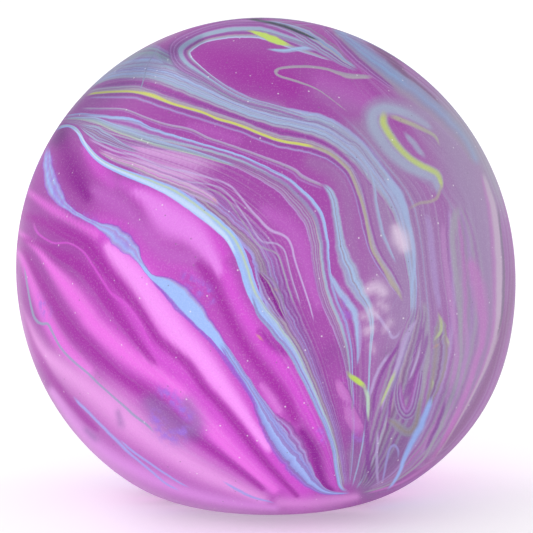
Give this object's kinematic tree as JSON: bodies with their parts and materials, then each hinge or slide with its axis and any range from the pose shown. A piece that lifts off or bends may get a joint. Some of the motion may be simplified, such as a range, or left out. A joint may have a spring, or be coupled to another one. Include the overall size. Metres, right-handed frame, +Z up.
{
  "type": "squeeze ball",
  "caption": "Soft marbled rubber squeeze ball, filled with jelly and closed by a glued barbed plug; it squeezes and stretches.",
  "frame": {"origin": "middle of the flat patch that the ball rests on", "axes": "+Z up from the resting patch, -Y towards the side that the picture shows, +X to its right"},
  "size_m": [0.07, 0.07, 0.0677],
  "materials": {
    "marbled_rubber": "satin",
    "plug_rubber": "satin",
    "adhesive": "gloss",
    "jelly": "gloss"
  },
  "bodies": {
    "ball": {"skin": "marbled_rubber", "jelly_filling": "jelly"},
    "plug": {"fill_plug": "plug_rubber", "plug_adhesive": "adhesive"}
  },
  "joints": [
    {"name": "squeeze", "type": "slide", "parent": "ball", "child": "plug", "axis": [0, 0, 1], "range_m": [-0.022, 0.03], "stiffness_N_per_m": 300, "deforming": ["skin", "jelly_filling"]}
  ]
}
